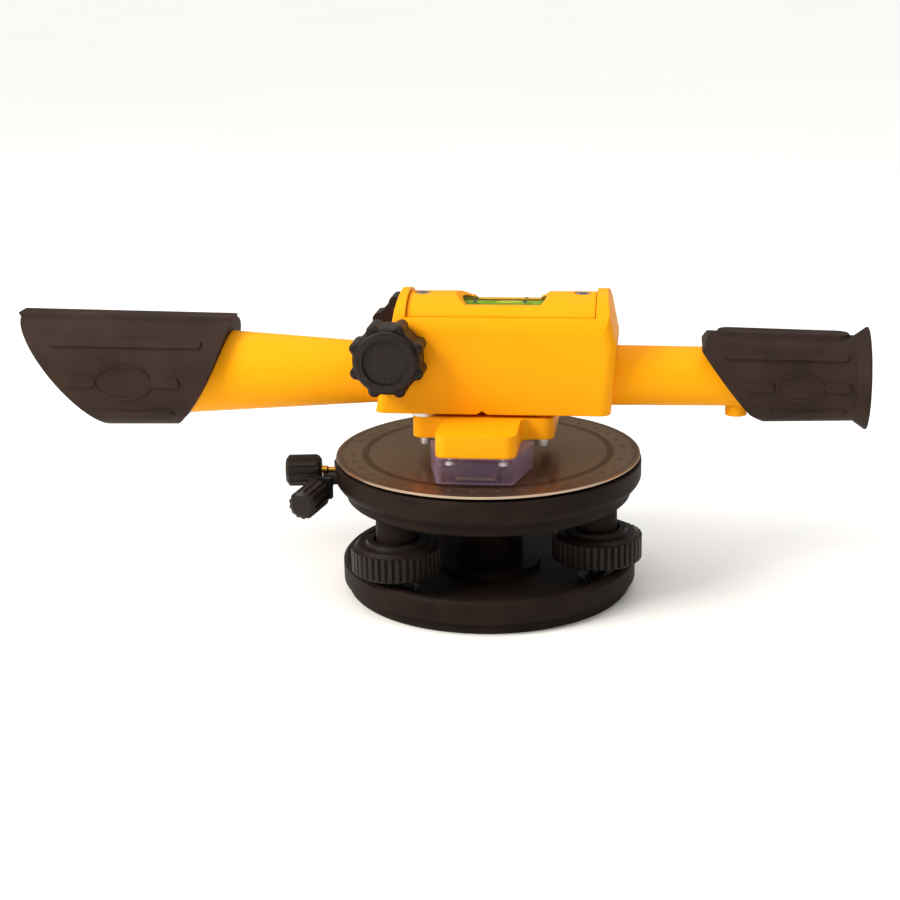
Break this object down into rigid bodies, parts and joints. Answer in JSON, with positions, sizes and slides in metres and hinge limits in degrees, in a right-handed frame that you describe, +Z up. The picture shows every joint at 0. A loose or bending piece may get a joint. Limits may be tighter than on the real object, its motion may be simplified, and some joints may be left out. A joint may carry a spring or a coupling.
{
  "type": "dumpy level",
  "caption": "Sighting telescope with a tubular level on top, turning over a graduated horizontal circle on a levelling head with thumb screws, clamp, slow motion and rubber sunshade and eyecup.",
  "frame": {"origin": "mouth of the tripod thread, at the centre of the base plate's underside", "axes": "+Z up along the vertical axis, +X along the line of sight from the objective towards the eyepiece, +Y towards the far focusing knob"},
  "size_m": [0.3179, 0.1169, 0.1152],
  "materials": {
    "yellow_paint": "satin",
    "black_paint": "satin",
    "black_plastic": "satin",
    "black_rubber": "matte",
    "black_anodised": "matte",
    "aluminium": "satin",
    "steel": "satin",
    "zinc_screws": "polished",
    "circle_metal": "satin",
    "brass": "satin",
    "white_acetal": "matte",
    "index_metal": "satin",
    "clear_window": "clear",
    "optical_glass": "clear",
    "vial_glass": "clear",
    "vial_liquid": "clear"
  },
  "bodies": {
    "base": {"base_plate": "black_paint", "foot_keepers": "steel", "keeper_screws": "zinc_screws", "ball_seat": "black_plastic"},
    "screw_left": {"level_wheel_left": "black_plastic", "level_stem_left": "steel"},
    "screw_right": {"level_wheel_right": "black_plastic", "level_stem_right": "steel"},
    "screw_rear": {"level_wheel_rear": "black_plastic", "level_stem_rear": "steel"},
    "ball": {"center_ball": "steel"},
    "head": {"head_cup": "black_paint", "screw_bushes": "brass", "center_post": "steel", "post_screws": "zinc_screws", "post_nut": "brass", "friction_washer": "white_acetal"},
    "circle": {"horizontal_circle": "circle_metal"},
    "clamp": {"clamp_ring": "brass"},
    "shoe": {"brake_shoe": "steel"},
    "clamp_handle": {"clamp_screw": "brass", "clamp_knob": "black_plastic"},
    "tangent": {"tangent_screw": "brass", "tangent_knob": "black_plastic", "tangent_clip": "steel"},
    "telescope": {"spindle_sleeve": "aluminium", "sleeve_screws": "zinc_screws", "standard_plate": "yellow_paint", "index_window": "clear_window", "window_screws": "zinc_screws", "index_plate": "index_metal", "body_screws": "zinc_screws", "body_washers": "aluminium", "telescope_body": "yellow_paint", "vial_cover": "yellow_paint", "vial_cover_screws": "zinc_screws", "vial_glass": "vial_glass", "vial_liquid": "vial_liquid", "vial_plugs": "white_acetal", "vial_carrier": "brass", "carrier_screws": "zinc_screws", "sunshade": "black_rubber", "objective_cell": "black_anodised", "objective_lenses": "optical_glass", "focus_bushes": "brass", "erector_tube": "black_anodised", "erector_lenses": "optical_glass", "reticle_ring": "brass", "reticle_glass": "optical_glass", "reticle_screws": "steel", "eyecup": "black_rubber"},
    "focus_drive": {"focus_shaft": "steel", "focus_pinion": "brass", "focus_knob_near": "black_plastic", "focus_knob_far": "black_plastic"},
    "focus_slide": {"focus_slide": "black_anodised", "focus_lens": "optical_glass", "focus_rack": "brass"},
    "eyepiece": {"eyepiece_barrel": "black_anodised", "eye_lenses": "optical_glass"}
  },
  "joints": [
    {"name": "level_left", "type": "hinge", "parent": "base", "child": "screw_left", "pos_m": [-0.03103, -0.03049, 0.015], "axis": [0, 0, 1], "range_deg": [-470, 470]},
    {"name": "level_right", "type": "hinge", "parent": "base", "child": "screw_right", "pos_m": [0.04192, -0.01162, 0.015], "axis": [0, 0, 1], "range_deg": [-470, 470]},
    {"name": "level_rear", "type": "hinge", "parent": "base", "child": "screw_rear", "pos_m": [-0.01089, 0.04211, 0.015], "axis": [0, 0, 1], "range_deg": [-470, 470]},
    {"name": "head_roll", "type": "hinge", "parent": "base", "child": "ball", "pos_m": [0, 0, 0.03], "axis": [-0.2504, 0.9681, 0], "range_deg": [-2, 2]},
    {"name": "head_pitch", "type": "hinge", "parent": "ball", "child": "head", "pos_m": [0, 0, 0.03], "axis": [0.9681, 0.2504, 0], "range_deg": [-2, 2]},
    {"name": "circle_turn", "type": "hinge", "parent": "head", "child": "circle", "pos_m": [0, 0, 0.052], "axis": [0, 0, 1], "continuous": true},
    {"name": "slow_motion", "type": "hinge", "parent": "head", "child": "clamp", "pos_m": [0, 0, 0.046], "axis": [0, 0, 1], "range_deg": [-2.49, 2.49]},
    {"name": "tangent_turn", "type": "hinge", "parent": "clamp", "child": "tangent", "pos_m": [-0.06184, -0.01956, 0.0413], "axis": [-0.1736, -0.9848, 0], "range_deg": [-900, 900]},
    {"name": "clamp_turn", "type": "hinge", "parent": "clamp", "child": "clamp_handle", "pos_m": [-0.03966, -0.00522, 0.0465], "axis": [-0.9914, -0.1305, 0], "range_deg": [0, 360]},
    {"name": "shoe_press", "type": "slide", "parent": "clamp", "child": "shoe", "axis": [0.9914, 0.1305, 0], "range_m": [0, 0.0005]},
    {"name": "azimuth", "type": "hinge", "parent": "clamp", "child": "telescope", "pos_m": [0, 0, 0.055], "axis": [0, 0, 1], "continuous": true},
    {"name": "focus_turn", "type": "hinge", "parent": "telescope", "child": "focus_drive", "pos_m": [-0.033, 0, 0.0945], "axis": [0, 1, 0], "range_deg": [-197, 197]},
    {"name": "focus_travel", "type": "slide", "parent": "telescope", "child": "focus_slide", "axis": [1, 0, 0], "range_m": [-0.012, 0.012]},
    {"name": "dioptre", "type": "hinge", "parent": "telescope", "child": "eyepiece", "pos_m": [0.11, 0, 0.083], "axis": [1, 0, 0], "range_deg": [-150, 150]}
  ],
  "couplings": [
    {"joint": "level_right", "follows": "level_left", "ratio": -1},
    {"joint": "head_roll", "follows": "level_left", "ratio": 0.004225},
    {"joint": "head_pitch", "follows": "level_rear", "ratio": 0.003659},
    {"joint": "tangent_turn", "follows": "slow_motion", "ratio": 361.27},
    {"joint": "clamp_turn", "follows": "shoe_press", "rad_per_m": 12563},
    {"joint": "focus_turn", "follows": "focus_travel", "rad_per_m": -285.71}
  ]
}
